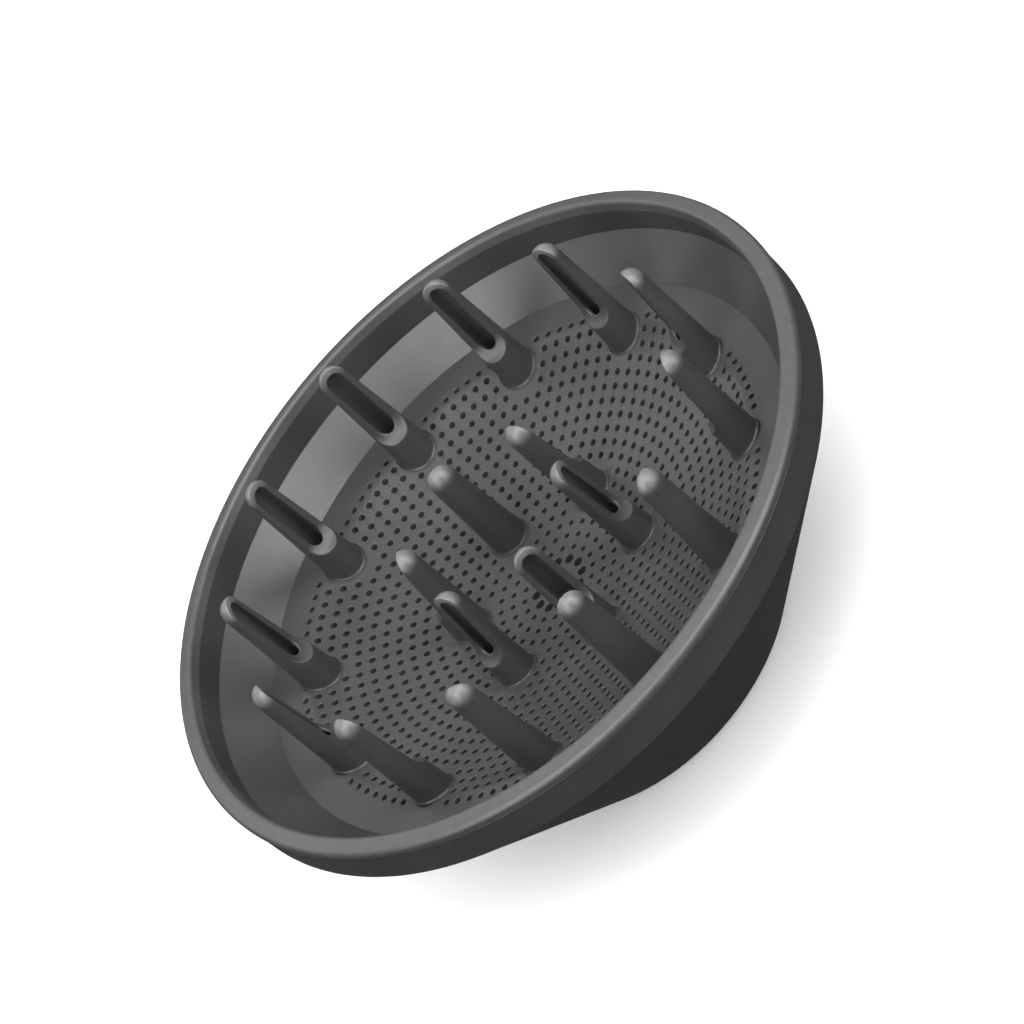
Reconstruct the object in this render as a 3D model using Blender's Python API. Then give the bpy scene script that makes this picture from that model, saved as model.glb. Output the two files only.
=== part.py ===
"""Diffuser attachment for a hair dryer.

A dished bowl with a perforated plate and eighteen hollow tines stands on the neck that takes the
dryer's nozzle. The diffuser's axis is +Z. The neck's rim rests on z = 0 and the tines point up.
Lengths below are millimetres, and leave through metres() when a mesh is made.
"""

from math import cos, pi, radians, sin, sqrt

import bmesh
import bpy
from mathutils import Matrix, Vector

GAP = 0.3  # between pieces that touch on the real object

# Driving sizes of the dish.
RIM_RADIUS = 70.0  # the widest circle of the rim bead
RIM_TOP_Z = 49.3
MOUTH_RADIUS = 66.9  # inner edge of the bead
MOUTH_Z = 47.9
LEDGE_RADIUS = 65.9  # where the upright inner wall turns into the sloping wall
LEDGE_Z = 41.4
FLOOR_RADIUS = 58.4  # foot of the sloping wall
FLOOR_Z = 34.6  # the flat band round the plate
PLATE_RADIUS = 50.6  # where the flat band turns into the dished plate
PLATE_BOTTOM_Z = 24.9  # lowest point of the plate's upper face
DISH_CURVE = 259.0  # the plate's upper face rises by r * r / DISH_CURVE
PLATE_WALL = 1.6
WALL = 1.7
SHELF_RADIUS = 55.0  # the bowl's shelf, under the flat band
SHELF_WALL = 1.6
NEST_GAP = 0.5  # between the bowl's back and the shell's inside

BEAD_ROUND = 1.5  # radius of the bead's edges
BEAD_SEAT = 0.3  # the shell's band stands back from the bead's widest circle by this

# Outside of the shell.
PARTING_Z = 46.4  # seam between the shell's band and the bead
CREASE_RADIUS = 69.4  # where the band turns into the cone
CREASE_Z = 39.5
BACK_RADIUS = 33.4  # where the cone turns into the back wall
BACK_Z = 1.2
BACK_WALL = 2.2
BACK_ROUND = 1.6
SHELL_FILLET = 2.0  # inside, between the cone and the back wall

# Neck.
COLLAR_OUTER = 28.0
COLLAR_BORE = 26.2
COLLAR_TOP = 20.0
COLLAR_LIP = 24.9  # bore of the lip at the mouth, which keeps the grip ring in
NOZZLE_STOP = 22.2  # bore of the lip at the top, where the dryer's nozzle comes to rest
NOZZLE_SEAT = 23.5  # outer edge of the raised seat on that lip's underside
NOZZLE_SEAT_Z = 17.9
COLLAR_LIP_WALL = 1.6
FLANGE_OUTER = 32.6
FLANGE_WALL = 2.0
GRIP_BORE = 24.3
GRIP_RIB_BORE = 23.6
GRIP_RIBS = 3
GRIP_RIB_FOOT = 0.9  # half the height of a rib where it leaves the ring
GRIP_RIB_TIP = 0.3  # and where it touches the nozzle
SCREW_RING = 30.4
SCREW_COUNT = 4
SCREW_START = 45.0
SCREW_POINT = 0.8  # length of the cut-off point
SCREW_REACH = 1.2  # how far the screws come out above the flange
SCREW_HEAD = 1.75
SCREW_HEAD_WALL = 1.1
SCREW_SHANK = 0.95

# Tines.
OUTER_TINES = 12
OUTER_TINE_RING = 48.2
OUTER_TINE_TOP = 60.2
OUTER_TINE_START = 0.0  # degrees from +X to the first one
INNER_TINES = 6
INNER_TINE_RING = 19.1
INNER_TINE_TOP = 49.8
INNER_TINE_START = 30.0
TINE_FOOT = 3.7  # radius at the plate
TINE_TIP = 2.8  # radius of the domed tip
TINE_BORE = 1.7  # also half the width of the slot
TINE_WALL = 1.1  # behind the slot
SPIGOT = 2.6  # hollow peg under the tine, through the plate
SPIGOT_DEPTH = 2.6
SCOOP_SLOPE = 0.085  # the cut face leans towards the slot side by this much per millimetre down
SCOOP_TIP = -0.9  # the cut face at the tip, measured from the tine's middle towards the slot
SCOOP_TIP_DEPTH = 1.3  # how far below the tip that is measured
SCOOP_TURN = 10.0  # height above the plate where the cut face starts to curve out
SCOOP_CURVE = 4.1  # radius of that curve
SLOT_LOW = 7.5
SLOT_TOP_BRIDGE = 2.1
SLOT_INSET = 0.05  # the slot is this much narrower than the bore, each side
SLOT_ARCH = 0.7  # height of the slot's upper end as a share of half its width

# Openings of the plate: a coarse pattern with the open share of the real one.
HOLE_PITCH = 8.6
HOLE_RINGS = 5
HOLE_RADIUS = 2.0
HOLE_MARGIN = 1.0  # solid plate kept between a hole and a tine's foot
HOLE_SIDES = 6
DRILL_REACH = 2.5  # how far a drill goes past the plate's faces
PLATE_STEPS = (14.0, 26.0, 38.0)  # radii at which the dish is stepped

# Baffle behind the plate's middle.
BAFFLE_RADIUS = 13.0
BAFFLE_Z = 17.0
BAFFLE_WALL = 1.6
BAFFLE_CONE = 4.0
BAFFLE_LEGS = 3
BAFFLE_LEG = 1.2
BAFFLE_LEG_RING = 9.0
BAFFLE_LEG_START = 30.0

SEGMENTS = 36  # round the dish
NECK_SEGMENTS = 24
TINE_SEGMENTS = 12
SMALL_SEGMENTS = 10


def metres(point):
    return tuple(0.001 * value for value in point)


def clear_scene():
    for old in list(bpy.data.objects):
        bpy.data.objects.remove(old, do_unlink=True)


def plastic(name, grey, roughness):
    """Dyed plastic or rubber of one colour."""
    material = bpy.data.materials.new(name)
    material.use_nodes = True
    shader = material.node_tree.nodes["Principled BSDF"]
    shader.inputs["Base Color"].default_value = (grey, grey, grey, 1.0)
    shader.inputs["Roughness"].default_value = roughness
    return material


def steel(name):
    material = plastic(name, 0.55, 0.35)
    material.node_tree.nodes["Principled BSDF"].inputs["Metallic"].default_value = 1.0
    return material


def finish(name, bm, material, smooth_angle=35.0):
    """Turns a bmesh in millimetres into a smooth-shaded object."""
    bmesh.ops.scale(bm, vec=(0.001, 0.001, 0.001), verts=bm.verts)
    bmesh.ops.recalc_face_normals(bm, faces=bm.faces)
    mesh = bpy.data.meshes.new(name)
    bm.to_mesh(mesh)
    bm.free()
    mesh.shade_smooth()
    mesh.set_sharp_from_angle(angle=radians(smooth_angle))
    mesh.materials.append(material)
    made = bpy.data.objects.new(name, mesh)
    bpy.context.scene.collection.objects.link(made)
    return made


def turned(outline, segments):
    """A closed ring, or a solid where the outline touches the axis, from (radius, z) points."""
    bm = bmesh.new()
    rows = []
    for radius, z in outline:
        if radius == 0.0:
            rows.append([bm.verts.new((0.0, 0.0, z))] * segments)
            continue
        angles = [2.0 * pi * step / segments for step in range(segments)]
        rows.append([bm.verts.new((radius * cos(a), radius * sin(a), z)) for a in angles])
    for row, after in zip(rows, rows[1:] + rows[:1]):
        for step in range(segments):
            beside = (step + 1) % segments
            corners = dict.fromkeys((row[step], row[beside], after[beside], after[step]))
            if len(corners) > 2:
                bm.faces.new(list(corners))
    return bm


def arc(middle, radius, start, end, steps):
    """Points on a circle in the (radius, z) plane, angles in degrees."""
    angles = [radians(start + (end - start) * step / steps) for step in range(steps + 1)]
    return [(middle[0] + radius * cos(a), middle[1] + radius * sin(a)) for a in angles]


def cutter(name, bm):
    """A helper that only cuts: it isn't rendered."""
    made = finish(name, bm, bpy.data.materials["bowl_plastic"])
    made.hide_render = True
    made.display_type = "WIRE"
    return made


def cut(target, tool):
    boolean = target.modifiers.new("cut_" + tool.name, "BOOLEAN")
    boolean.operation = "DIFFERENCE"
    boolean.solver = "EXACT"
    boolean.object = tool


def post(bm, radius, angle, low, high, thickness, sides=SMALL_SEGMENTS):
    """Adds one upright prism that stands on a ring, from one height to another."""
    place = Vector((radius * cos(angle), radius * sin(angle), 0.5 * (low + high)))
    bmesh.ops.create_cone(
        bm, cap_ends=True, segments=sides, radius1=thickness, radius2=thickness,
        depth=high - low, matrix=Matrix.Translation(place) @ Matrix.Rotation(angle, 4, "Z"),
    )


def plate_height(radius):
    """Upper face of the dished plate."""
    return PLATE_BOTTOM_Z + radius * radius / DISH_CURVE


def ring_angles(start, count):
    """Angles in radians of a ring of equal places, from a start in degrees."""
    return [radians(start) + 2.0 * pi * step / count for step in range(count)]


def tine_places():
    """Ring radius and angle of every tine's foot."""
    outer = [(OUTER_TINE_RING, angle) for angle in ring_angles(OUTER_TINE_START, OUTER_TINES)]
    inner = [(INNER_TINE_RING, angle) for angle in ring_angles(INNER_TINE_START, INNER_TINES)]
    return outer + inner


def shell_inside(z):
    """Inner radius of the shell's cone at a height."""
    spread = (CREASE_RADIUS - BACK_RADIUS) / (CREASE_Z - BACK_Z)
    return CREASE_RADIUS - (CREASE_Z - z) * spread - WALL * sqrt(1.0 + spread * spread)


def make_shell(material):
    """Flange band, cone and back wall in one moulding, open at the front and round the neck."""
    inner_crease = CREASE_RADIUS - WALL
    back_top = BACK_Z + BACK_WALL
    neck_hole = COLLAR_OUTER + GAP
    fillet_z = back_top + SHELL_FILLET
    band = RIM_RADIUS - BEAD_SEAT
    outline = [(neck_hole, BACK_Z)]
    outline += arc((BACK_RADIUS - 0.4 * BACK_ROUND, BACK_Z + BACK_ROUND), BACK_ROUND, -90.0, -44.0, 3)
    outline += [
        (CREASE_RADIUS, CREASE_Z),
        (band, PARTING_Z),
        (band - WALL, PARTING_Z),
        (inner_crease, CREASE_Z + 0.4 * WALL),
        (shell_inside(fillet_z), fillet_z),
        (shell_inside(fillet_z) - 0.8 * SHELL_FILLET, back_top),
        (neck_hole, back_top),
    ]
    shell = finish("outer_shell", turned(outline, SEGMENTS), material)
    sink_top = BACK_Z + SCREW_HEAD_WALL + GAP
    drills = bmesh.new()
    for angle in ring_angles(SCREW_START, SCREW_COUNT):
        post(drills, SCREW_RING, angle, BACK_Z - 1.0, sink_top, SCREW_HEAD + GAP)
        post(drills, SCREW_RING, angle, sink_top - 0.2, back_top + 0.5, SCREW_SHANK + GAP)
    cut(shell, cutter("screw_drills", drills))


def make_bowl(material):
    """Rim bead, upright inner wall, sloping wall and the shelf that the plate lies on."""
    shelf_top = FLOOR_Z - PLATE_WALL - GAP
    shelf_low = shelf_top - SHELF_WALL
    upright_back = RIM_RADIUS - BEAD_SEAT - WALL - GAP
    outline = [(MOUTH_RADIUS, MOUTH_Z), (LEDGE_RADIUS, LEDGE_Z), (FLOOR_RADIUS, FLOOR_Z)]
    outline += [
        (FLOOR_RADIUS, shelf_top),
        (SHELF_RADIUS, shelf_top),
        (SHELF_RADIUS, shelf_low),
        (shell_inside(shelf_low) - NEST_GAP, shelf_low),
        (shell_inside(CREASE_Z) - NEST_GAP, CREASE_Z),
        (CREASE_RADIUS - WALL - NEST_GAP, CREASE_Z + NEST_GAP + GAP),
        (upright_back, LEDGE_Z + BEAD_ROUND),
        (upright_back, PARTING_Z + GAP),
        (RIM_RADIUS - BEAD_SEAT, PARTING_Z + GAP),
    ]
    outline += arc((RIM_RADIUS - BEAD_ROUND, RIM_TOP_Z - BEAD_ROUND), BEAD_ROUND, 0.0, 90.0, 3)
    outline += arc((MOUTH_RADIUS + BEAD_ROUND, RIM_TOP_Z - BEAD_ROUND), BEAD_ROUND, 90.0, 150.0, 2)
    finish("front_bowl", turned(outline, SEGMENTS), material)


def make_plate(material):
    """Dished plate with its flat edge band, pierced for the air and for the tines."""
    edge = FLOOR_RADIUS - GAP
    upper = [(radius, plate_height(radius)) for radius in PLATE_STEPS] + [(PLATE_RADIUS, FLOOR_Z)]
    lower = [(radius, z - PLATE_WALL) for radius, z in upper]
    outline = [(0.0, PLATE_BOTTOM_Z - PLATE_WALL)] + lower
    outline += [(edge, FLOOR_Z - PLATE_WALL), (edge, FLOOR_Z)]
    outline += upper[::-1] + [(0.0, PLATE_BOTTOM_Z)]
    plate = finish("diffuser_plate", turned_solid(outline, SEGMENTS), material)
    holes = bmesh.new()
    for radius, angle in tine_places():
        drill(holes, radius, angle, SPIGOT + GAP, TINE_SEGMENTS)
    for ring in range(1, HOLE_RINGS + 1):
        for angle in ring_angles(INNER_TINE_START, 6 * ring):
            if clear_of_tines(ring * HOLE_PITCH, angle):
                drill(holes, ring * HOLE_PITCH, angle, HOLE_RADIUS, HOLE_SIDES)
    cut(plate, cutter("plate_piercer", holes))


def turned_solid(outline, segments):
    """As turned, for an outline that starts and ends on the axis."""
    bm = bmesh.new()
    first = bm.verts.new((0.0, 0.0, outline[0][1]))
    last = bm.verts.new((0.0, 0.0, outline[-1][1]))
    angles = [2.0 * pi * step / segments for step in range(segments)]
    rows = [[bm.verts.new((r * cos(a), r * sin(a), z)) for a in angles] for r, z in outline[1:-1]]
    for step in range(segments):
        beside = (step + 1) % segments
        bm.faces.new((first, rows[0][step], rows[0][beside]))
        bm.faces.new((last, rows[-1][beside], rows[-1][step]))
        for row, after in zip(rows, rows[1:]):
            bm.faces.new((row[step], row[beside], after[beside], after[step]))
    return bm


def drill(bm, radius, angle, hole_radius, sides):
    """Adds one upright prism that goes through the plate."""
    top = plate_height(radius)
    post(bm, radius, angle, top - PLATE_WALL - DRILL_REACH, top + DRILL_REACH, hole_radius, sides)


def clear_of_tines(radius, angle):
    """Whether a hole at this place leaves solid plate round every tine's foot."""
    keep = TINE_FOOT + HOLE_RADIUS + HOLE_MARGIN
    for ring, place in tine_places():
        squared = radius * radius + ring * ring - 2.0 * radius * ring * cos(angle - place)
        if sqrt(max(squared, 0.0)) < keep:
            return False
    return True


def tine_body(height, slope):
    """Solid peg at the origin, slot side towards +X, its foot cut to the plate's slope."""
    bm = bmesh.new()
    straight = height - TINE_TIP
    tip_shift = TINE_TIP - TINE_FOOT  # the side away from the slot runs straight up
    sloped = [(-SPIGOT_DEPTH, SPIGOT), (GAP, SPIGOT), (GAP, TINE_FOOT)]
    rows = []
    for z, radius in sloped:
        angles = ring_angles(0.0, TINE_SEGMENTS)
        corners = [(radius * cos(a), radius * sin(a)) for a in angles]
        rows.append([bm.verts.new((x, y, z - slope * x)) for x, y in corners])
    for rise in (0.0, 30.0, 60.0):
        z = straight + TINE_TIP * sin(radians(rise))
        radius = TINE_TIP * cos(radians(rise))
        angles = ring_angles(0.0, TINE_SEGMENTS)
        rows.append([bm.verts.new((tip_shift + radius * cos(a), radius * sin(a), z)) for a in angles])
    top = bm.verts.new((tip_shift, 0.0, height))
    bm.faces.new(list(reversed(rows[0])))
    for row, after in zip(rows, rows[1:]):
        for step in range(TINE_SEGMENTS):
            beside = (step + 1) % TINE_SEGMENTS
            bm.faces.new((row[step], row[beside], after[beside], after[step]))
    for step in range(TINE_SEGMENTS):
        bm.faces.new((rows[-1][step], rows[-1][(step + 1) % TINE_SEGMENTS], top))
    return bm


def prism(bm, outline, axis_low, axis_high, place):
    """Adds a closed prism: place(u, v, w) gives the corner for outline point (u, v) at depth w."""
    low = [bm.verts.new(place(u, v, axis_low)) for u, v in outline]
    high = [bm.verts.new(place(u, v, axis_high)) for u, v in outline]
    bm.faces.new(low)
    bm.faces.new(list(reversed(high)))
    count = len(outline)
    for step in range(count):
        beside = (step + 1) % count
        bm.faces.new((low[beside], low[step], high[step], high[beside]))


def scoop_cutter(height):
    """Takes away the slot side above the curved lip."""
    bm = bmesh.new()
    above = height + 2.0
    outside = 2.0 * TINE_FOOT
    turn_x = SCOOP_TIP + (height - SCOOP_TIP_DEPTH - SCOOP_TURN) * SCOOP_SLOPE
    outline = [(turn_x - (above - SCOOP_TURN) * SCOOP_SLOPE, above)]
    for x, drop in arc((0.0, 0.0), SCOOP_CURVE, 0.0, 90.0, 4):
        outline.append((turn_x + SCOOP_CURVE - x, SCOOP_TURN - drop))
    outline += [(outside, SCOOP_TURN - SCOOP_CURVE), (outside, above)]
    prism(bm, outline, -outside, outside, lambda u, v, w: (u, w, v))
    return bm


def bore_cutter(height):
    """Air way up the middle of the tine."""
    bm = bmesh.new()
    middle = TINE_WALL + TINE_BORE - TINE_FOOT
    sides = ring_angles(22.5, 8)
    outline = [(middle + TINE_BORE * cos(a), TINE_BORE * sin(a)) for a in sides]
    low = -SPIGOT_DEPTH - DRILL_REACH
    prism(bm, outline, low, height - SLOT_TOP_BRIDGE, lambda u, v, w: (u, v, w))
    return bm


def slot_cutter(height):
    """Opens the air way to the slot side, with a round lower end and an arched upper one."""
    bm = bmesh.new()
    middle = TINE_WALL + TINE_BORE - TINE_FOOT
    half = TINE_BORE - SLOT_INSET
    arch = SLOT_ARCH * half
    low = SLOT_LOW + half
    high = height - SLOT_TOP_BRIDGE - SLOT_INSET - arch
    outline = arc((0.0, low), half, 180.0, 360.0, 4)
    outline += [(x, high + arch * y / half) for x, y in arc((0.0, 0.0), half, 0.0, 180.0, 3)]
    prism(bm, outline, middle, 2.0 * TINE_FOOT, lambda u, v, w: (w, u, v))
    return bm


def tine_shape(kind, height, slope, material):
    """Mesh of one finished tine, in metres."""
    tools = [
        cutter(kind + "_scoop_cutter", scoop_cutter(height)),
        cutter(kind + "_bore_cutter", bore_cutter(height)),
        cutter(kind + "_slot_cutter", slot_cutter(height)),
    ]
    model = finish(kind + "_model", tine_body(height, slope), material)
    for tool in tools:
        cut(model, tool)
    bpy.context.view_layer.update()
    graph = bpy.context.evaluated_depsgraph_get()
    shape = bpy.data.meshes.new_from_object(model.evaluated_get(graph))
    shape.name = kind
    for helper in [model] + tools:
        bpy.data.objects.remove(helper, do_unlink=True)
    return shape


def make_tines(material):
    """Two rings of tines: the outer ones open towards the axis, the inner ones away from it."""
    outer_angles = ring_angles(OUTER_TINE_START, OUTER_TINES)
    inner_angles = ring_angles(INNER_TINE_START, INNER_TINES)
    kinds = (
        ("outer_tine", outer_angles, OUTER_TINE_RING, OUTER_TINE_TOP, pi),
        ("inner_tine", inner_angles, INNER_TINE_RING, INNER_TINE_TOP, 0.0),
    )
    for kind, angles, ring, top_z, facing in kinds:
        base_z = plate_height(ring)
        slope = -2.0 * ring / DISH_CURVE * cos(facing)
        shape = tine_shape(kind, top_z - base_z, slope, material)
        for number, angle in enumerate(angles, 1):
            tine = bpy.data.objects.new(f"{kind}_{number:02d}", shape)
            tine.location = metres((ring * cos(angle), ring * sin(angle), base_z))
            tine.rotation_euler = (0.0, 0.0, angle + facing)
            bpy.context.scene.collection.objects.link(tine)


def make_collar(material):
    """Neck tube with a lip at each end and the flange that is screwed to the shell."""
    flange_z = BACK_Z + BACK_WALL + GAP
    outline = [
        (COLLAR_LIP, 0.0),
        (COLLAR_OUTER, 0.0),
        (COLLAR_OUTER, flange_z),
        (FLANGE_OUTER, flange_z),
        (FLANGE_OUTER, flange_z + FLANGE_WALL),
        (COLLAR_OUTER, flange_z + FLANGE_WALL),
        (COLLAR_OUTER, COLLAR_TOP),
        (NOZZLE_STOP, COLLAR_TOP),
        (NOZZLE_STOP, NOZZLE_SEAT_Z),
        (NOZZLE_SEAT, NOZZLE_SEAT_Z),
        (NOZZLE_SEAT, COLLAR_TOP - COLLAR_LIP_WALL),
        (COLLAR_BORE, COLLAR_TOP - COLLAR_LIP_WALL),
        (COLLAR_BORE, COLLAR_LIP_WALL),
        (COLLAR_LIP, COLLAR_LIP_WALL),
    ]
    collar = finish("neck_collar", turned(outline, NECK_SEGMENTS), material)
    drills = bmesh.new()
    for angle in ring_angles(SCREW_START, SCREW_COUNT):
        low = flange_z - 0.5
        post(drills, SCREW_RING, angle, low, low + FLANGE_WALL + 1.0, SCREW_SHANK + GAP)
    cut(collar, cutter("collar_drills", drills))


def make_grip_ring(material):
    """Soft lining of the neck with three ribs that hold the nozzle."""
    low = COLLAR_LIP_WALL + GAP
    high = COLLAR_TOP - COLLAR_LIP_WALL - GAP
    outside = COLLAR_BORE - GAP
    outline = [(outside, low), (outside, high), (GRIP_BORE, high)]
    pitch = (high - low) / GRIP_RIBS
    for rib in range(GRIP_RIBS):
        middle = high - (rib + 0.5) * pitch
        outline += [
            (GRIP_BORE, middle + GRIP_RIB_FOOT),
            (GRIP_RIB_BORE, middle + GRIP_RIB_TIP),
            (GRIP_RIB_BORE, middle - GRIP_RIB_TIP),
            (GRIP_BORE, middle - GRIP_RIB_FOOT),
        ]
    outline += [(GRIP_BORE, low)]
    finish("grip_ring", turned(outline, NECK_SEGMENTS), material)


def make_screws(material):
    """Pan-head screws through the shell's back wall into the collar's flange."""
    low = BACK_Z + 0.05
    head_top = BACK_Z + SCREW_HEAD_WALL
    tip = BACK_Z + BACK_WALL + GAP + FLANGE_WALL + SCREW_REACH
    outline = [
        (0.0, low),
        (SCREW_HEAD - 0.5, low),
        (SCREW_HEAD, low + 0.4),
        (SCREW_HEAD, head_top),
        (SCREW_SHANK, head_top),
        (SCREW_SHANK, tip - SCREW_POINT),
        (0.3, tip),
        (0.0, tip),
    ]
    for number, angle in enumerate(ring_angles(SCREW_START, SCREW_COUNT), 1):
        screw = finish(f"neck_screw_{number}", turned_solid(outline, SMALL_SEGMENTS), material)
        screw.location = metres((SCREW_RING * cos(angle), SCREW_RING * sin(angle), 0.0))
        screw.rotation_euler = (0.0, 0.0, angle)


def make_baffle(material):
    """Shallow cone behind the plate's middle that spreads the jet, on three legs."""
    outline = [(0.0, BAFFLE_Z - BAFFLE_CONE), (BAFFLE_RADIUS, BAFFLE_Z)]
    outline += [(BAFFLE_RADIUS, BAFFLE_Z + BAFFLE_WALL), (0.0, BAFFLE_Z + BAFFLE_WALL)]
    baffle = finish("air_baffle", turned_solid(outline, NECK_SEGMENTS), material)
    low = BAFFLE_Z + 0.5 * BAFFLE_WALL
    top = plate_height(BAFFLE_LEG_RING - BAFFLE_LEG) - PLATE_WALL - GAP
    legs = bmesh.new()
    for angle in ring_angles(BAFFLE_LEG_START, BAFFLE_LEGS):
        post(legs, BAFFLE_LEG_RING, angle, low, top, BAFFLE_LEG)
    join = baffle.modifiers.new("legs", "BOOLEAN")
    join.operation = "UNION"
    join.solver = "EXACT"
    join.object = cutter("baffle_legs", legs)


def main():
    clear_scene()
    bowl_plastic = plastic("bowl_plastic", 0.055, 0.5)
    shell_plastic = plastic("shell_plastic", 0.045, 0.5)
    tine_plastic = plastic("tine_plastic", 0.045, 0.5)
    neck_plastic = plastic("neck_plastic", 0.035, 0.55)
    rubber = plastic("grip_rubber", 0.02, 0.8)
    screw_steel = steel("screw_steel")
    make_shell(shell_plastic)
    make_bowl(bowl_plastic)
    make_plate(bowl_plastic)
    make_tines(tine_plastic)
    make_baffle(neck_plastic)
    make_collar(neck_plastic)
    make_grip_ring(rubber)
    make_screws(screw_steel)


main()
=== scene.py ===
"""Looks of the hair dryer diffuser: finely perforated plate, hollow tines, dish, shell and neck.

Lengths of the part are millimetres in its own frame: +Z along the diffuser's axis, the neck's rim
on z = 0. Pieces are scaled to metres when they are finished. Camera and lamps are in metres.
A corner of a turned outline is (radius, height, rounding).
"""

from math import atan2, cos, pi, radians, sin, sqrt, tan

import bmesh
import bpy
from mathutils import Matrix, Vector, geometry


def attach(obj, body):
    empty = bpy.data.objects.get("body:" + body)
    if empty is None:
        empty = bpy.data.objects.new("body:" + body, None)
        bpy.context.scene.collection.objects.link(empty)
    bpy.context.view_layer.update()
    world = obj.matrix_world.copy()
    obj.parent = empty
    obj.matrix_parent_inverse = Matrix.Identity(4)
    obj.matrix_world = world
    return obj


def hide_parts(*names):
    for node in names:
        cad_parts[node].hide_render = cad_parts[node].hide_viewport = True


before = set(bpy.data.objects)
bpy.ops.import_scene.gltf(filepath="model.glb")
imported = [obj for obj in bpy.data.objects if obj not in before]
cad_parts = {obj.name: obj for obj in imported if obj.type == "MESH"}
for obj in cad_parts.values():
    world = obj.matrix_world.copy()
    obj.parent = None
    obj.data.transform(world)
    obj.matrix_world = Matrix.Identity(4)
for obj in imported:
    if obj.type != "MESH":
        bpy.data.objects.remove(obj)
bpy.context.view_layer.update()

MM = 0.001
ROUND = 288  # segments of a large turned piece
ON_AXIS = 1e-6  # a smaller radius counts as none
WELD = 1e-4

# Bowl.
RIM_RADIUS = 70.0
PARTING_Z, PARTING_GAP = 46.4, 0.25  # joint between the shell's flange and the bead
BEAD_SHOULDER = (RIM_RADIUS, 48.2, 1.2)
BEAD_TOP = (66.7, 49.3, 0.85)
MOUTH_RADIUS, MOUTH_Z = 66.1, 47.0
LEDGE_RADIUS, LEDGE_Z = 65.9, 41.4
FLOOR_RADIUS, FLOOR_Z = 58.4, 34.6
SHELF_RADIUS, SHELF_TOP_Z, SHELF_LOW_Z = 55.0, 32.7, 31.1
BOWL_BACK_RADIUS = 67.6

# Plate.
CREASE_RADIUS = 50.2  # the flat edge band starts here
DISH_LOW = 24.87
DISH_CURVE = 259.0  # the dish rises by the radius squared over this
PLATE_WALL = 1.6
PLATE_GAP = 0.01  # round the plate's edge
HOLE_PITCH = 2.578
FIRST_RING, LARGER_RING, LAST_RING = 2, 8, 20
MIDDLE_HOLE, SMALL_HOLE, LARGE_HOLE = 0.93, 0.54, 0.61
HOLE_SIDES = 16
HOLE_FILLET = 0.1
HOLE_START = 30.0  # degrees
OUTER_MARGIN, INNER_MARGIN = 5.15, 4.75  # no hole's middle is nearer to an outer or inner tine

# Tines. Each has its foot's middle on the origin and its open front towards +X.
TINE_FOOT, TINE_TIP = 3.7, 2.8
TINE_BORE, BORE_X = 1.7, -0.9
SCOOP_TOP_X, SCOOP_LOW_X = -0.9, 0.4  # of the open front's flat
SCOOP_TURN_Z, SCOOP_CURVE = 10.0, 4.1  # where the flat ends and the curve out of the front starts
SLOT_LOW_Z, SLOT_ROOF = 7.5, 1.5
FLARE = 0.35  # of the foot
CUTTER_REACH = 9.0  # past the tine on every side
TINES = {  # count, radius of the ring, first azimuth, top, turn of the front from outwards
    "outer_tine": (12, 48.2, 0.0, 60.2, pi),
    "inner_tine": (6, 19.1, 30.0, 49.8, 0.0),
}
SOCKET_GAP, SOCKET_FILLET, SOCKET_DEPTH = 0.015, 0.03, 0.9
SOCKET_SIDES = 64
SPIGOT_HOLE = 2.9

# Shell and neck.
SHELL_BORE, SHELL_BACK_RADIUS = 28.3, 33.6
BACK_Z, BACK_INSIDE_Z = 1.2, 3.4
COLLAR_RADIUS, COLLAR_BORE, COLLAR_TOP_Z = 28.0, 26.2, 20.0
LIP_RADIUS, LIP_WALL = 24.9, 1.6
NECK_FLANGE_RADIUS, NECK_FLANGE_LOW_Z, NECK_FLANGE_TOP_Z = 32.6, 3.7, 5.7
SEAT_INNER, SEAT_OUTER, SEAT_Z = 22.2, 23.5, 17.9
LIP_UNDER_Z = COLLAR_TOP_Z - LIP_WALL
GRIP_OUTER, GRIP_INNER, GRIP_RIB = 25.9, 24.3, 23.6
GRIP_LOW_Z, GRIP_TOP_Z = 1.9, 18.1
GRIP_RIBS, RIB_HALF = 3, 0.9
SCREW_RING, SCREW_COUNT, SCREW_START = 30.4, 4, 45.0
SCREW_HEAD, SCREW_SHANK, SCREW_HOLE, SCREW_SINK = 1.75, 0.95, 1.25, 2.05
HEAD_LOW_Z, HEAD_TOP_Z, SCREW_TIP_Z = 1.25, 2.3, 6.9
BAFFLE_RADIUS, BAFFLE_TOP_Z = 13.0, 18.6
LEG_RING, LEG_RADIUS, LEG_LOW_Z, LEGS = 9.0, 1.2, 18.0, 3


# Tools -------------------------------------------------------------------------------------------


def apply_modifiers(piece):
    bpy.context.view_layer.update()
    graph = bpy.context.evaluated_depsgraph_get()
    done = bpy.data.meshes.new_from_object(piece.evaluated_get(graph))
    piece.modifiers.clear()
    piece.data = done


def finish_piece(name, bm, material, replaces):
    """Turns a bmesh in millimetres into a smooth piece that rides on the part."""
    bmesh.ops.scale(bm, vec=(MM, MM, MM), verts=bm.verts)
    mesh = bpy.data.meshes.new(name)
    bm.to_mesh(mesh)
    bm.free()
    mesh.shade_smooth()
    mesh.materials.append(material)
    piece = bpy.data.objects.new(name, mesh)
    bpy.context.scene.collection.objects.link(piece)
    mesh.set_sharp_from_angle(angle=radians(50.0))
    shading = piece.modifiers.new("weighted", "WEIGHTED_NORMAL")
    shading.keep_sharp = True
    shading.weight = 80
    apply_modifiers(piece)
    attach(piece, "root")
    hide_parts(replaces)


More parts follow.
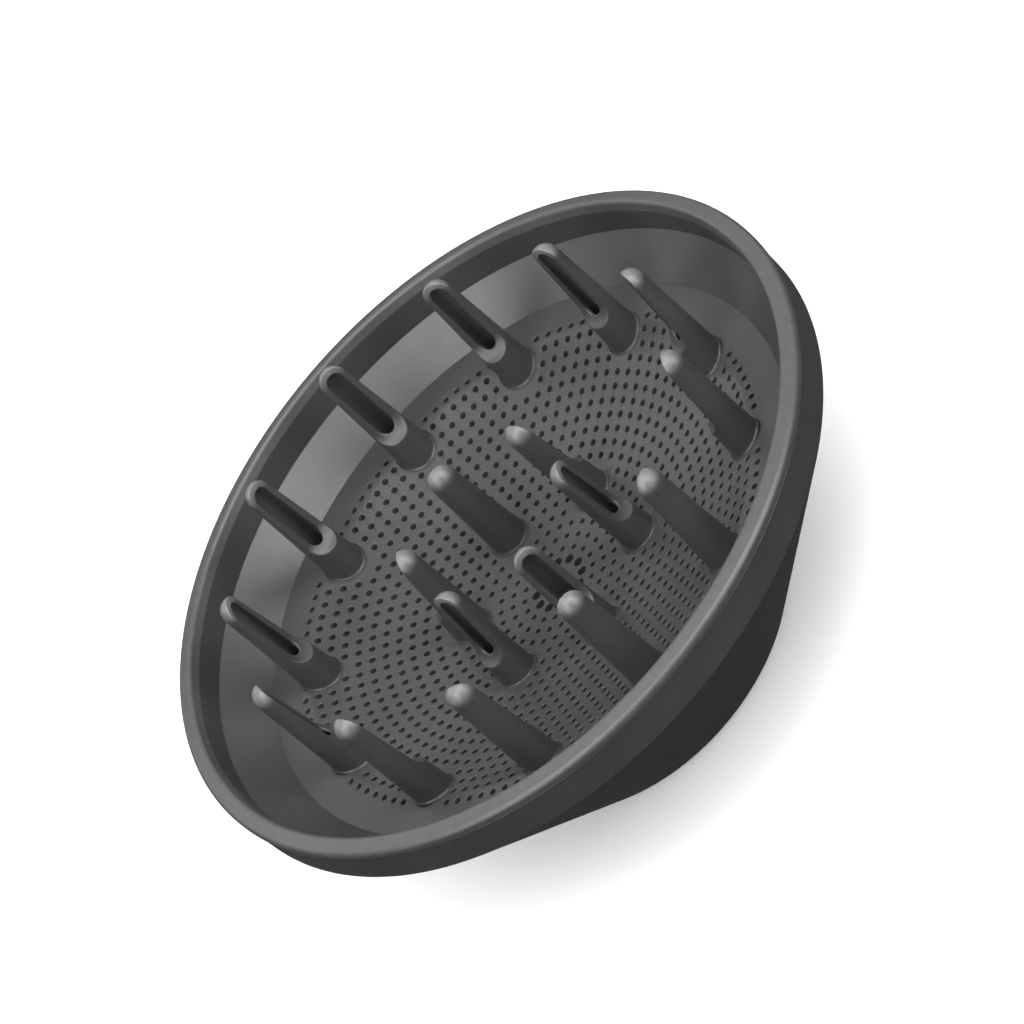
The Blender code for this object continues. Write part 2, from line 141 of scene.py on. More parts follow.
def rounded(corners, steps=8):
    """Closed outline whose corners are replaced by arcs."""
    outline = []
    count = len(corners)
    for index, (x, y, rounding) in enumerate(corners):
        if rounding <= 0.0:
            outline.append((x, y))
            continue
        here = Vector((x, y))
        before = Vector(corners[index - 1][:2]) - here
        after = Vector(corners[(index + 1) % count][:2]) - here
        before_way, after_way = before.normalized(), after.normalized()
        half = before_way.angle(after_way) / 2.0
        reach = min(rounding / tan(half), 0.49 * before.length, 0.49 * after.length)
        radius = reach * tan(half)
        middle = here + (before_way + after_way).normalized() * (radius / sin(half))
        start = here + before_way * reach - middle
        end = here + after_way * reach - middle
        first = atan2(start.y, start.x)
        turn = (atan2(end.y, end.x) - first + pi) % (2.0 * pi) - pi
        for step in range(steps + 1):
            angle = first + turn * step / steps
            outline.append((middle.x + radius * cos(angle), middle.y + radius * sin(angle)))
    return outline


def spread(outline, longest=2.5):
    """Adds points on long straight runs, so that shading stays even."""
    points = []
    count = len(outline)
    for index, (x, y) in enumerate(outline):
        points.append((x, y))
        next_x, next_y = outline[(index + 1) % count]
        cuts = int(sqrt((next_x - x) ** 2 + (next_y - y) ** 2) / longest)
        for cut in range(1, cuts + 1):
            share = cut / (cuts + 1)
            points.append((x + (next_x - x) * share, y + (next_y - y) * share))
    return points


def turned(bm, outline, segments=ROUND, ring=True):
    """Adds an outline turned about the axis. A point on the axis is shared by all segments."""
    rows = []
    angles = [2.0 * pi * step / segments for step in range(segments)]
    for radius, z in outline:
        if radius <= ON_AXIS:
            rows.append([bm.verts.new((0.0, 0.0, z))] * segments)
        else:
            rows.append([bm.verts.new((radius * cos(a), radius * sin(a), z)) for a in angles])
    pairs = list(zip(rows, rows[1:]))
    if ring:
        pairs.append((rows[-1], rows[0]))
    for row, after in pairs:
        for step in range(segments):
            beside = (step + 1) % segments
            corners = list(dict.fromkeys((row[step], row[beside], after[beside], after[step])))
            if len(corners) > 2:
                bm.faces.new(corners)


def ring_of(corners):
    """A turned ring with rounded corners."""
    bm = bmesh.new()
    turned(bm, spread(rounded(corners)))
    bmesh.ops.recalc_face_normals(bm, faces=bm.faces)
    return bm


def cylinder(bm, place, radius, low, high, sides=48):
    x, y = place
    where = Matrix.Translation((x, y, 0.5 * (low + high)))
    bmesh.ops.create_cone(
        bm, cap_ends=True, segments=sides, radius1=radius, radius2=radius,
        depth=high - low, matrix=where,
    )


def prism(outline, low, high, place):
    """Closed prism: place(u, v, w) is the corner for outline point (u, v) at depth w."""
    bm = bmesh.new()
    first = [bm.verts.new(place(u, v, low)) for u, v in outline]
    last = [bm.verts.new(place(u, v, high)) for u, v in outline]
    bm.faces.new(first)
    bm.faces.new(list(reversed(last)))
    for step in range(len(outline)):
        beside = (step + 1) % len(outline)
        bm.faces.new((first[beside], first[step], last[step], last[beside]))
    return bm


def helper(name, bm):
    """An object in millimetres that a modifier works on or with."""
    bmesh.ops.recalc_face_normals(bm, faces=bm.faces)
    mesh = bpy.data.meshes.new(name)
    bm.to_mesh(mesh)
    bm.free()
    made = bpy.data.objects.new(name, mesh)
    bpy.context.scene.collection.objects.link(made)
    return made


def carve(bm, cutters):
    """The bmesh with every cutter taken out of it, as a new bmesh."""
    body = helper("carved", bm)
    tools = [helper(f"tool_{index}", tool) for index, tool in enumerate(cutters)]
    for tool in tools:
        boolean = body.modifiers.new(tool.name, "BOOLEAN")
        boolean.operation = "DIFFERENCE"
        boolean.solver = "EXACT"
        boolean.object = tool
    apply_modifiers(body)
    made = bmesh.new()
    made.from_mesh(body.data)
    for used in [body] + tools:
        bpy.data.objects.remove(used, do_unlink=True)
    return made


def on_ring(radius, angle):
    return (radius * cos(angle), radius * sin(angle))


def circle(x, y, radius, sides, phase=0.0):
    angles = [phase + 2.0 * pi * step / sides for step in range(sides)]
    return [(x + radius * cos(a), y + radius * sin(a)) for a in angles]


def quarter(steps):
    """Angles from 0 to 90 degrees, both included."""
    return [radians(90.0 * step / steps) for step in range(steps + 1)]


# Plate -------------------------------------------------------------------------------------------


def plate_height(radius):
    """Upper face of the dished plate and its flat edge band."""
    return min(DISH_LOW + radius * radius / DISH_CURVE, FLOOR_Z)


def tine_places():
    """(x, y, margin without holes) of every tine."""
    places = []
    for kind, (count, ring, start, _, _) in TINES.items():
        margin = OUTER_MARGIN if kind == "outer_tine" else INNER_MARGIN
        for step in range(count):
            places.append((*on_ring(ring, radians(start) + 2.0 * pi * step / count), margin))
    return places


def hole_radius(ring):
    if ring == FIRST_RING:
        return MIDDLE_HOLE
    return SMALL_HOLE if ring < LARGER_RING else LARGE_HOLE


def clear_of(x, y, circles, margin=0.0):
    """Whether a point is outside every (x, y, radius) circle by more than the margin."""
    return all((x - cx) ** 2 + (y - cy) ** 2 > (radius + margin) ** 2 for cx, cy, radius in circles)


def plate_openings():
    """(x, y, radius, fillet, sides, hole in the socket's floor) of air holes and tine sockets."""
    openings = []
    tines = tine_places()
    for ring in range(FIRST_RING, LAST_RING + 1):
        count = 6 * ring
        for step in range(count):
            x, y = on_ring(ring * HOLE_PITCH, radians(HOLE_START) + 2.0 * pi * step / count)
            if clear_of(x, y, tines):
                openings.append((x, y, hole_radius(ring), HOLE_FILLET, HOLE_SIDES, None))
    socket = TINE_FOOT + FLARE + SOCKET_GAP
    for x, y, _ in tines:
        openings.append((x, y, socket, SOCKET_FILLET, SOCKET_SIDES, SPIGOT_HOLE))
    return openings


def plate_filling(mouths):
    """Points between the openings that keep the triangles on the curved plate short."""
    keep_off = 0.35
    phase = 0.01
    half_round = ROUND // 2
    points = []
    for radius, count in ((1.3, 8), (2.7, 16), (52.9, half_round), (54.6, half_round), (56.4, half_round)):
        points += circle(0.0, 0.0, radius, count, phase)
    points.append((0.0, 0.0))
    for x, y, _ in tine_places():
        points += circle(x, y, TINE_FOOT + FLARE + 0.75, 40)
    return [(x, y) for x, y in points if clear_of(x, y, mouths, keep_off)]


def plate_plan(openings):
    """The plate from above: points, triangles, each opening's ring and the edge's, and owners.

    owners gives the opening that a point belongs to.
    """
    points, edges, rings = [], [], []
    outlines = [circle(x, y, r + fillet, sides, atan2(y, x)) for x, y, r, fillet, sides, _ in openings]
    outlines.append(circle(0.0, 0.0, FLOOR_RADIUS - PLATE_GAP, ROUND))
    for outline in outlines:
        ring = list(range(len(points), len(points) + len(outline)))
        points += outline
        rings.append(ring)
        edges += zip(ring, ring[1:] + ring[:1])
    mouths = [(x, y, radius + fillet) for x, y, radius, fillet, _, _ in openings]
    crease = {}  # its points inside a hole's mouth are left out
    for step, (x, y) in enumerate(circle(0.0, 0.0, CREASE_RADIUS, ROUND)):
        if clear_of(x, y, mouths, 0.08):
            crease[step] = len(points)
            points.append((x, y))
    for step, number in crease.items():
        beside = (step + 1) % ROUND
        if beside in crease:
            edges.append((number, crease[beside]))
    points += plate_filling(mouths)
    made = geometry.delaunay_2d_cdt([Vector(point) for point in points], edges, [], 0, 1e-5)
    placed, _, triangles, sources = made[:4]
    new_number = {old: new for new, olds in enumerate(sources) for old in olds}
    rings = [[new_number[old] for old in ring] for ring in rings]
    owners = {number: index for index, ring in enumerate(rings[:-1]) for number in ring}
    return placed, triangles, rings, owners


def opening_wall(bm, opening, mouth, foot):
    """Rounded mouth, wall and, under a tine, the socket's floor."""
    x, y, radius, fillet, _, floor_hole = opening
    turns = (radians(35.0), radians(65.0))
    levels = [(radius + fillet * (1.0 - sin(turn)), fillet * (1.0 - cos(turn))) for turn in turns]
    levels.append((radius, fillet))
    if floor_hole:
        levels += [(radius, SOCKET_DEPTH), (floor_hole, SOCKET_DEPTH)]
    rows = [mouth]
    for reach, drop in levels:
        scale = reach / (radius + fillet)
        row = []
        for corner in mouth:
            cx, cy, cz = corner.co
            row.append(bm.verts.new((x + (cx - x) * scale, y + (cy - y) * scale, cz - drop)))
        rows.append(row)
    rows.append(foot)
    for row, below in zip(rows, rows[1:]):
        for step in range(len(mouth)):
            beside = (step + 1) % len(mouth)
            bm.faces.new((row[step], row[beside], below[beside], below[step]))


def plate_mesh():
    """Plate with every opening's mouth and wall, and the underside."""
    openings = plate_openings()
    points, triangles, rings, owners = plate_plan(openings)
    bm = bmesh.new()
    top = [bm.verts.new((point.x, point.y, plate_height(point.length))) for point in points]
    bottom = []
    for number, (x, y) in enumerate(points):
        if number in owners:
            middle_x, middle_y, radius, fillet, _, floor_hole = openings[owners[number]]
            shrink = (floor_hole or radius) / (radius + fillet)
            x = middle_x + (x - middle_x) * shrink
            y = middle_y + (y - middle_y) * shrink
        bottom.append(bm.verts.new((x, y, plate_height(sqrt(x * x + y * y)) - PLATE_WALL)))
    for triangle in triangles:
        a, b, c = triangle
        if a in owners and owners[a] == owners.get(b) == owners.get(c):
            continue
        bm.faces.new((top[a], top[b], top[c]))
        bm.faces.new((bottom[c], bottom[b], bottom[a]))
    edge = rings[-1]
    for here, beside in zip(edge, edge[1:] + edge[:1]):
        bm.faces.new((top[beside], top[here], bottom[here], bottom[beside]))
    for opening, ring in zip(openings, rings):
        opening_wall(bm, opening, [top[i] for i in ring], [bottom[i] for i in ring])
    bm.normal_update()
    return bm


# Tines -------------------------------------------------------------------------------------------


def tine_sections(height, slope):
    """(height, radius, middle's x, slope) from the socket over the flared foot to the domed tip."""
    wide = TINE_FOOT + FLARE
    straight = height - TINE_TIP
    sections = [(-SOCKET_DEPTH + 0.05, wide, 0.0, slope)]
    for turn in quarter(6):
        sections.append((FLARE * (1.0 - cos(turn)), wide - FLARE * sin(turn), 0.0, slope))
    steps = 12
    for step in range(1, steps + 1):
        share = step / steps
        radius = TINE_FOOT + (TINE_TIP - TINE_FOOT) * share
        z = FLARE + (straight - FLARE) * share
        sections.append((z, radius, radius - TINE_FOOT, slope * (1.0 - share)))
    for rise in quarter(18)[1:-1]:
        sections.append((straight + TINE_TIP * sin(rise), TINE_TIP * cos(rise), TINE_TIP - TINE_FOOT, 0.0))
    return sections


def tine_body(height, slope, sides=96):
    """Closed peg whose back stays upright; its foot follows the plate's slope."""
    bm = bmesh.new()
    rows = []
    for z, radius, middle, tilt in tine_sections(height, slope):
        ring = circle(middle, 0.0, radius, sides)
        rows.append([bm.verts.new((x, y, z - tilt * x)) for x, y in ring])
    bm.faces.new(list(reversed(rows[0])))
    for row, after in zip(rows, rows[1:]):
        for step in range(sides):
            beside = (step + 1) % sides
            bm.faces.new((row[step], row[beside], after[beside], after[step]))
    peak = bm.verts.new((TINE_TIP - TINE_FOOT, 0.0, height))
    for step in range(sides):
        bm.faces.new((rows[-1][step], rows[-1][(step + 1) % sides], peak))
    return bm


def scoop(height):
    """Cutter for the open front: a leaning flat that curves out through the front below."""
    above = 2.0
    lean = (SCOOP_LOW_X - SCOOP_TOP_X) / (height - SCOOP_TURN_Z)
    outline = [(SCOOP_TOP_X - above * lean, height + above)]
    for turn in quarter(24):
        x = SCOOP_LOW_X + SCOOP_CURVE * (1.0 - cos(turn))
        outline.append((x, SCOOP_TURN_Z - SCOOP_CURVE * sin(turn)))
    outline += [(CUTTER_REACH, SCOOP_TURN_Z - SCOOP_CURVE), (CUTTER_REACH, height + above)]
    return prism(outline, -CUTTER_REACH, CUTTER_REACH, lambda u, v, w: (u, w, v))


def bore(height):
    """Cutter for the hollow middle, open below and domed at the top."""
    below = -6.0
    dome = height - SLOT_ROOF - TINE_BORE
    outline = [(0.0, below), (TINE_BORE, below)]
    outline += [(TINE_BORE * cos(turn), dome + TINE_BORE * sin(turn)) for turn in quarter(12)]
    outline[-1] = (0.0, dome + TINE_BORE)
    bm = bmesh.new()
    turned(bm, outline, 64, ring=False)
    bmesh.ops.remove_doubles(bm, verts=bm.verts, dist=WELD)
    bmesh.ops.translate(bm, vec=(BORE_X, 0.0, 0.0), verts=bm.verts)
    return bm


def slot_tool(height):
    """Cutter for the slot in front of the bore, round at both ends."""
    half = TINE_BORE - 0.02
    steps = 24
    outline = []
    for middle, start in ((SLOT_LOW_Z + half, 180.0), (height - SLOT_ROOF - half, 0.0)):
        for step in range(steps + 1):
            angle = radians(start + 180.0 * step / steps)
            outline.append((half * cos(angle), middle + half * sin(angle)))
    return prism(outline, BORE_X, CUTTER_REACH, lambda u, v, w: (w, u, v))


def tine_mesh(kind):
    """The carved tine with its edges softened, in metres, with its top on the origin."""
    _, ring, _, top_z, facing = TINES[kind]
    height = top_z - plate_height(ring)
    slope = -2.0 * ring / DISH_CURVE * cos(facing)
    bm = carve(tine_body(height, slope), [scoop(height), bore(height), slot_tool(height)])
    body = helper(kind + "_shape", bm)
    remesh = body.modifiers.new("remesh", "REMESH")
    remesh.mode = "VOXEL"
    remesh.voxel_size = 0.15
    remesh.use_smooth_shade = True
    smooth = body.modifiers.new("smooth", "SMOOTH")
    smooth.factor = 0.5
    smooth.iterations = 7
    thin = body.modifiers.new("thin", "DECIMATE")
    thin.ratio = 0.25
    apply_modifiers(body)
    mesh = body.data.copy()
    mesh.name = kind
    mesh.transform(Matrix.Scale(MM, 4) @ Matrix.Translation((0.0, 0.0, -height)))
    bpy.data.objects.remove(body, do_unlink=True)
    return mesh


def make_tines():
    for kind, (count, ring, start, top, facing) in TINES.items():
        mesh = tine_mesh(kind)
        mesh.materials.clear()
        mesh.materials.append(tine_plastic)
        mesh.shade_smooth()
        for number in range(count):
            angle = radians(start) + 2.0 * pi * number / count
            name = f"{kind}_{number + 1:02d}"
            piece = bpy.data.objects.new(name + "_moulded", mesh)
            bpy.context.scene.collection.objects.link(piece)
            piece.location = Vector((*on_ring(ring, angle), top)) * MM
            piece.rotation_euler = (0.0, 0.0, angle + facing)
            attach(piece, "root")
            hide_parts(name)


# Materials ---------------------------------------------------------------------------------------


def plastic(name, grey, roughness, grain=0.35, specular=0.5, painted_highlight=None):
    """Moulded plastic: fine spark-eroded grain, uneven gloss and faint handling marks.

    worn is (low, high, grey): a painted highlight; between two heights of the mesh the colour turns, in
    patches, to that grey.
    """
    material = bpy.data.materials.new(name)
    material.use_nodes = True
    tree = material.node_tree
    nodes, links = tree.nodes, tree.links
    shader = nodes["Principled BSDF"]
    shader.inputs["Specular IOR Level"].default_value = specular
    place = nodes.new("ShaderNodeTexCoord").outputs["Object"]

    def noise(scale, detail, rough=0.5):
        node = nodes.new("ShaderNodeTexNoise")
        node.inputs["Scale"].default_value = scale
        node.inputs["Detail"].default_value = detail
        node.inputs["Roughness"].default_value = rough
        links.new(place, node.inputs["Vector"])
        return node.outputs["Fac"]

    def ramp(source, low, high, start=0.3, end=0.7):
        node = nodes.new("ShaderNodeMapRange")
        node.inputs["From Min"].default_value = start
        node.inputs["From Max"].default_value = end
        node.inputs["To Min"].default_value = low
        node.inputs["To Max"].default_value = high
        links.new(source, node.inputs["Value"])
        return node.outputs["Result"]

    def times(first, second):
        node = nodes.new("ShaderNodeMath")
        node.operation = "MULTIPLY"
        links.new(first, node.inputs[0])
        links.new(second, node.inputs[1])
        return node.outputs[0]

    def mixed(factor):
        node = nodes.new("ShaderNodeMix")
        node.data_type = "RGBA"
        links.new(factor, node.inputs["Factor"])
        return node

    clouds = ramp(noise(45.0, 3.0), 0.94, 1.06)
    specks = ramp(noise(2600.0, 1.0), 0.93, 1.07)
    mottled = mixed(ramp(times(clouds, specks), 0.0, 1.0, 0.8, 1.2))
    mottled.inputs["A"].default_value = (grey * 0.8,) * 3 + (1.0,)
    mottled.inputs["B"].default_value = (grey * 1.2,) * 3 + (1.0,)
    colour = mottled.outputs["Result"]
    # Painted highlight: from the given heights upwards the colour is lightened in patches.
    if painted_highlight:
        low, high, pale = painted_highlight
        parts = nodes.new("ShaderNodeSeparateXYZ")
        links.new(place, parts.inputs["Vector"])
        height = ramp(parts.outputs["Z"], 0.0, 1.0, low * MM, high * MM)
        patchy = ramp(noise(700.0, 3.0, 0.6), 0.55, 1.0)
        highlighted = mixed(times(height, patchy))
        links.new(colour, highlighted.inputs["A"])
        highlighted.inputs["B"].default_value = (pale, pale, pale, 1.0)
        colour = highlighted.outputs["Result"]
    links.new(colour, shader.inputs["Base Color"])
    gloss = ramp(noise(90.0, 4.0, 0.6), roughness - 0.05, roughness + 0.05)
    links.new(gloss, shader.inputs["Roughness"])
    bump = nodes.new("ShaderNodeBump")
    bump.inputs["Strength"].default_value = grain
    bump.inputs["Distance"].default_value = 0.03 * MM
    links.new(noise(4200.0, 2.0), bump.inputs["Height"])
    links.new(bump.outputs["Normal"], shader.inputs["Normal"])
    return material


def steel(name):
    material = plastic(name, 0.5, 0.32, grain=0.2)
    material.node_tree.nodes["Principled BSDF"].inputs["Metallic"].default_value = 1.0
    return material


def floor_material():
    """Pale and faintly glowing, so that the ground stays white and shadows stay soft."""
    material = bpy.data.materials.new("pale_floor")
    material.use_nodes = True
    shader = material.node_tree.nodes["Principled BSDF"]
    shader.inputs["Base Color"].default_value = (0.9, 0.9, 0.9, 1.0)
    shader.inputs["Roughness"].default_value = 0.9
    shader.inputs["Specular IOR Level"].default_value = 0.1
    shader.inputs["Emission Color"].default_value = (1.0, 1.0, 1.0, 1.0)
    shader.inputs["Emission Strength"].default_value = 0.15
    return material


GREY, SATIN, SHEEN = 0.035, 0.42, 0.6  # colour, roughness and specular level of the main plastic
# Painted highlight: the rim bead is coloured lighter from 46.7 mm up.
BEAD_PAINTED_HIGHLIGHT = (46.7, 47.2, 0.058)
# Painted highlight: the tines' tips are coloured lighter, from 3.4 mm below the top upwards.
TIP_PAINTED_HIGHLIGHT = (-3.4, -0.6, 0.15)  # below the tine's top
bowl_plastic = plastic("bowl_plastic", GREY, SATIN, specular=SHEEN, painted_highlight=BEAD_PAINTED_HIGHLIGHT)
plate_plastic = plastic("plate_plastic", GREY, SATIN, specular=SHEEN)
shell_plastic = plastic("shell_plastic", GREY, SATIN, specular=SHEEN)
tine_plastic = plastic("tine_plastic", GREY, SATIN, specular=SHEEN, painted_highlight=TIP_PAINTED_HIGHLIGHT)
neck_plastic = plastic("neck_plastic", 0.03, 0.5)
grip_rubber = plastic("grip_rubber", 0.02, 0.75, grain=0.6)
screw_steel = steel("screw_steel")


# Pieces ------------------------------------------------------------------------------------------


def make_bowl():
    """Rim bead, upright and sloping walls, and the shelf under the plate's edge."""
    seam = PARTING_Z + PARTING_GAP
    corners = [
        (RIM_RADIUS - PARTING_GAP, seam, 0.0),
        (RIM_RADIUS, seam, 0.12),
        BEAD_SHOULDER,
        BEAD_TOP,
        (MOUTH_RADIUS, MOUTH_Z, 0.5),
        (LEDGE_RADIUS, LEDGE_Z, 0.25),
        (FLOOR_RADIUS, FLOOR_Z, 0.12),
        (FLOOR_RADIUS, SHELF_TOP_Z, 0.1),
        (SHELF_RADIUS, SHELF_TOP_Z, 0.2),
        (SHELF_RADIUS, SHELF_LOW_Z, 0.2),
        (57.2, SHELF_LOW_Z, 0.3),
        (66.7, 41.3, 0.5),
        (BOWL_BACK_RADIUS, 42.9, 0.3),
        (BOWL_BACK_RADIUS, seam, 0.1),
    ]
    finish_piece("front_bowl_moulded", ring_of(corners), bowl_plastic, "front_bowl")


def screw_places():
    """(x, y, azimuth) of every screw."""
    angles = [radians(SCREW_START) + 2.0 * pi * step / SCREW_COUNT for step in range(SCREW_COUNT)]
    return [(*on_ring(SCREW_RING, angle), angle) for angle in angles]


def make_shell():
    """Flange band, cone and rounded back wall with its screw sinks."""
    corners = [
        (SHELL_BORE, BACK_Z, 0.25),
        (SHELL_BACK_RADIUS, BACK_Z, 1.5),
        (69.4, 39.5, 0.5),
        (69.72, PARTING_Z, 0.22),
        (68.0, PARTING_Z, 0.2),
        (67.8, 40.2, 0.4),
        (35.6, 5.4, 1.2),
        (33.4, BACK_INSIDE_Z, 0.8),
        (SHELL_BORE, BACK_INSIDE_Z, 0.2),
    ]
    sinks = bmesh.new()
    for x, y, _ in screw_places():
        cylinder(sinks, (x, y), SCREW_SINK, 0.0, 2.6)
        cylinder(sinks, (x, y), SCREW_HOLE, 2.4, 4.5)
    shell = carve(ring_of(corners), [sinks])
    finish_piece("outer_shell_moulded", shell, shell_plastic, "outer_shell")


def make_collar():
    """Tube with a screw flange, a lip at each end and the raised seat for the nozzle's end."""
    corners = [
        (LIP_RADIUS, 0.0, 0.5),
        (COLLAR_RADIUS, 0.0, 0.5),
        (COLLAR_RADIUS, NECK_FLANGE_LOW_Z, 0.2),
        (NECK_FLANGE_RADIUS, NECK_FLANGE_LOW_Z, 0.3),
        (NECK_FLANGE_RADIUS, NECK_FLANGE_TOP_Z, 0.3),
        (COLLAR_RADIUS, NECK_FLANGE_TOP_Z, 0.4),
        (COLLAR_RADIUS, COLLAR_TOP_Z, 0.3),
        (SEAT_INNER, COLLAR_TOP_Z, 0.4),
        (SEAT_INNER, SEAT_Z, 0.3),
        (SEAT_OUTER, SEAT_Z, 0.15),
        (SEAT_OUTER, LIP_UNDER_Z, 0.1),
        (COLLAR_BORE, LIP_UNDER_Z, 0.1),
        (COLLAR_BORE, LIP_WALL, 0.1),
        (LIP_RADIUS, LIP_WALL, 0.2),
    ]
    holes = bmesh.new()
    for x, y, _ in screw_places():
        cylinder(holes, (x, y), SCREW_HOLE, 3.0, 6.5)
    collar = carve(ring_of(corners), [holes])
    finish_piece("neck_collar_moulded", collar, neck_plastic, "neck_collar")


def make_grip():
    """Soft lining with ribs that hold the nozzle."""
    corners = [(GRIP_OUTER, GRIP_LOW_Z, 0.3), (GRIP_OUTER, GRIP_TOP_Z, 0.3), (GRIP_INNER, GRIP_TOP_Z, 0.4)]
    pitch = (GRIP_TOP_Z - GRIP_LOW_Z) / GRIP_RIBS
    for rib in range(GRIP_RIBS):
        middle = GRIP_TOP_Z - (rib + 0.5) * pitch
        corners += [
            (GRIP_INNER, middle + RIB_HALF, 0.4),
            (GRIP_RIB, middle, 0.35),
            (GRIP_INNER, middle - RIB_HALF, 0.4),
        ]
    corners.append((GRIP_INNER, GRIP_LOW_Z, 0.4))
    finish_piece("grip_ring_moulded", ring_of(corners), grip_rubber, "grip_ring")


def screw_recess():
    """Cutters for the cross in a screw's head."""
    half_depth = 0.2
    wing = [(-0.95, 1.0), (0.95, 1.0), (0.35, 2.1), (-0.35, 2.1)]
    bars = []
    for turn in (0.0, 90.0):
        bar = prism(wing, -half_depth, half_depth, lambda u, v, w: (u, w, v))
        where = Matrix.Rotation(radians(turn), 4, "Z")
        bmesh.ops.transform(bar, matrix=where, verts=bar.verts)
        bars.append(bar)
    return bars


def make_screws():
    """Cross-headed screws, head down, through the shell into the collar's flange."""
    corners = [
        (0.0, HEAD_LOW_Z, 0.0),
        (SCREW_HEAD, HEAD_LOW_Z, 0.5),
        (SCREW_HEAD, HEAD_TOP_Z, 0.08),
        (SCREW_SHANK, HEAD_TOP_Z, 0.05),
        (SCREW_SHANK, SCREW_TIP_Z - 0.8, 0.1),
        (0.3, SCREW_TIP_Z, 0.1),
        (0.0, SCREW_TIP_Z, 0.0),
    ]
    for number, (x, y, angle) in enumerate(screw_places(), 1):
        body = bmesh.new()
        turned(body, rounded(corners), 48, ring=False)
        bmesh.ops.remove_doubles(body, verts=body.verts, dist=WELD)
        screw = carve(body, screw_recess())
        where = Matrix.Translation((x, y, 0.0)) @ Matrix.Rotation(angle, 4, "Z")
        bmesh.ops.transform(screw, matrix=where, verts=screw.verts)
        name = f"neck_screw_{number}"
        finish_piece(name + "_turned", screw, screw_steel, name)


def make_baffle():
    """Cone behind the plate's middle, on legs under the plate."""
    corners = [
        (0.0, 13.0, 0.0),
        (3.0, 13.85, 1.5),
        (BAFFLE_RADIUS, 17.0, 0.4),
        (BAFFLE_RADIUS, BAFFLE_TOP_Z, 0.4),
        (0.0, BAFFLE_TOP_Z, 0.0),
    ]
    baffle = bmesh.new()
    turned(baffle, spread(rounded(corners)), 96, ring=False)
    bmesh.ops.remove_doubles(baffle, verts=baffle.verts, dist=WELD)
    leg_top = plate_height(LEG_RING - LEG_RADIUS) - PLATE_WALL - 0.3
    for step in range(LEGS):
        place = on_ring(LEG_RING, radians(30.0) + 2.0 * pi * step / LEGS)
        cylinder(baffle, place, LEG_RADIUS, LEG_LOW_Z, leg_top, 32)
    bmesh.ops.recalc_face_normals(baffle, faces=baffle.faces)
    finish_piece("air_baffle_moulded", baffle, neck_plastic, "air_baffle")


make_bowl()
make_shell()
finish_piece("diffuser_plate_pierced", plate_mesh(), plate_plastic, "diffuser_plate")
make_tines()
make_collar()
make_grip()
make_screws()
make_baffle()


# Studio ------------------------------------------------------------------------------------------

ELEVATION = 36.77  # degrees of the camera above the floor
AZIMUTH = -1.47  # degrees from +Y to where it looks
ROLL = 49.4  # degrees that the diffuser's axis leans to the left of upright
DISTANCE = 1.3833  # along the view to the rim's centre
OFF_RIGHT, OFF_UP = 0.0055, 0.00085  # of the view's middle from the rim's centre
RIM_CENTRE = (0.0, 0.0, 0.048)
LENS, SENSOR = 271.18, 36.0

LAMP_DISTANCE = 1.5
SOFT_BOXES = {  # azimuth (0 on the camera's side, 90 on +X), elevation, width, height, radiance
    "key_right": (50.0, 40.0, 1.1, 1.5, 4.1),
    "key_left": (-50.0, 40.0, 1.1, 1.5, 3.7),
    "high_right": (60.0, 64.0, 0.7, 0.6, 4.7),
    "high_left": (-60.0, 64.0, 0.7, 0.6, 3.5),
    "low_right": (45.0, 10.0, 1.1, 0.5, 2.8),
    "low_left": (-45.0, 10.0, 1.1, 0.5, 1.6),
    "front": (0.0, 60.0, 0.8, 0.7, 1.4),
    "zenith": (0.0, 88.0, 0.8, 0.8, 3.0),
    "back_right": (140.0, 38.0, 1.2, 1.0, 0.8),
    "back_left": (-140.0, 38.0, 1.2, 1.0, 1.45),
    "back": (180.0, 38.0, 1.0, 1.0, 0.4),
}
SKY_ABOVE, SKY_BELOW = 0.19, 0.08
SKY_FADE_LOW, SKY_FADE_HIGH = -0.25, 0.15  # sines of elevation
GROUND_HALF = 6.0


def make_camera():
    rise, turn, lean = radians(ELEVATION), radians(AZIMUTH), radians(ROLL)
    ahead = Vector((sin(turn) * cos(rise), cos(turn) * cos(rise), -sin(rise)))
    level = ahead.cross(Vector((0.0, 0.0, 1.0))).normalized()
    upright = level.cross(ahead)
    right = level * cos(lean) - upright * sin(lean)
    up = upright * cos(lean) + level * sin(lean)
    lens = bpy.data.cameras.new("camera")
    lens.lens = LENS
    lens.sensor_width = SENSOR
    lens.clip_start, lens.clip_end = 0.05, 50.0
    camera = bpy.data.objects.new("camera", lens)
    bpy.context.scene.collection.objects.link(camera)
    place = Vector(RIM_CENTRE) + right * OFF_RIGHT + up * OFF_UP - ahead * DISTANCE
    axes = Matrix((right, up, -ahead)).transposed().to_4x4()
    camera.matrix_world = Matrix.Translation(place) @ axes
    bpy.context.scene.camera = camera


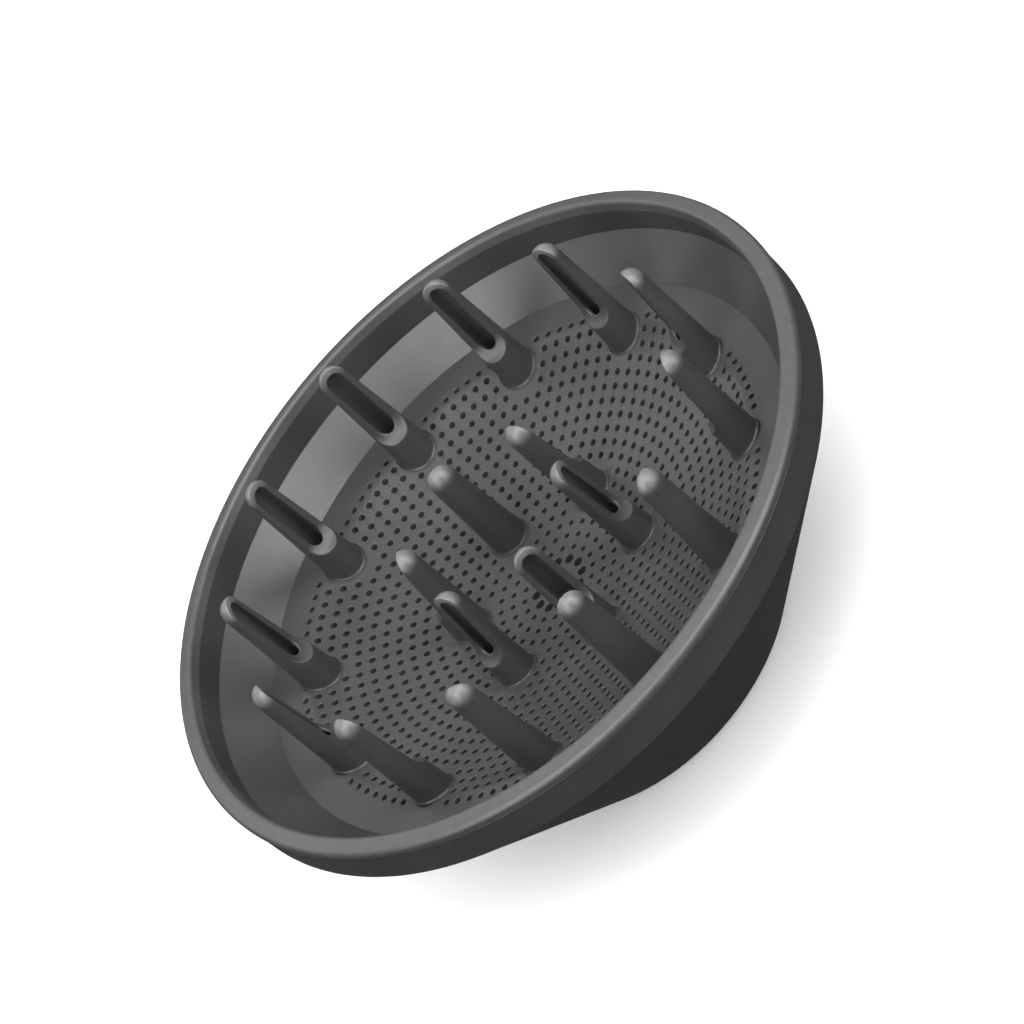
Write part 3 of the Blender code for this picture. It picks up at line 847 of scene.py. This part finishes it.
def soft_box(name, azimuth, elevation, width, height, radiance):
    lamp = bpy.data.lights.new(name, "AREA")
    lamp.shape = "RECTANGLE"
    lamp.size, lamp.size_y = width, height
    lamp.energy = radiance * pi * width * height
    light = bpy.data.objects.new(name, lamp)
    bpy.context.scene.collection.objects.link(light)
    turn, rise = radians(azimuth), radians(elevation)
    way = Vector((sin(turn) * cos(rise), -cos(turn) * cos(rise), sin(rise)))
    light.location = way * LAMP_DISTANCE
    light.rotation_mode = "QUATERNION"
    light.rotation_quaternion = way.to_track_quat("Z", "Y")
    light.visible_camera = False


def make_floor():
    """A pale floor that takes shadows but throws no light back, as one far from the part would."""
    bm = bmesh.new()
    bmesh.ops.create_grid(bm, x_segments=8, y_segments=8, size=GROUND_HALF)
    mesh = bpy.data.meshes.new("floor")
    bm.to_mesh(mesh)
    bm.free()
    mesh.materials.append(floor_material())
    floor = bpy.data.objects.new("floor", mesh)
    bpy.context.scene.collection.objects.link(floor)
    floor.visible_diffuse = floor.visible_glossy = floor.visible_shadow = False


def make_sky():
    """Even light that fades below the horizon."""
    world = bpy.data.worlds.new("studio")
    world.use_nodes = True
    tree = world.node_tree
    background = tree.nodes["Background"]
    background.inputs["Color"].default_value = (1.0, 1.0, 1.0, 1.0)
    where = tree.nodes.new("ShaderNodeTexCoord").outputs["Generated"]
    parts = tree.nodes.new("ShaderNodeSeparateXYZ")
    tree.links.new(where, parts.inputs["Vector"])
    fade = tree.nodes.new("ShaderNodeMapRange")
    fade.interpolation_type = "SMOOTHSTEP"
    fade.inputs["From Min"].default_value = SKY_FADE_LOW
    fade.inputs["From Max"].default_value = SKY_FADE_HIGH
    fade.inputs["To Min"].default_value = SKY_BELOW
    fade.inputs["To Max"].default_value = SKY_ABOVE
    tree.links.new(parts.outputs["Z"], fade.inputs["Value"])
    tree.links.new(fade.outputs["Result"], background.inputs["Strength"])
    bpy.context.scene.world = world


make_camera()
make_floor()
make_sky()
for name, settings in SOFT_BOXES.items():
    soft_box(name, *settings)
bpy.context.scene.view_settings.view_transform = "Standard"
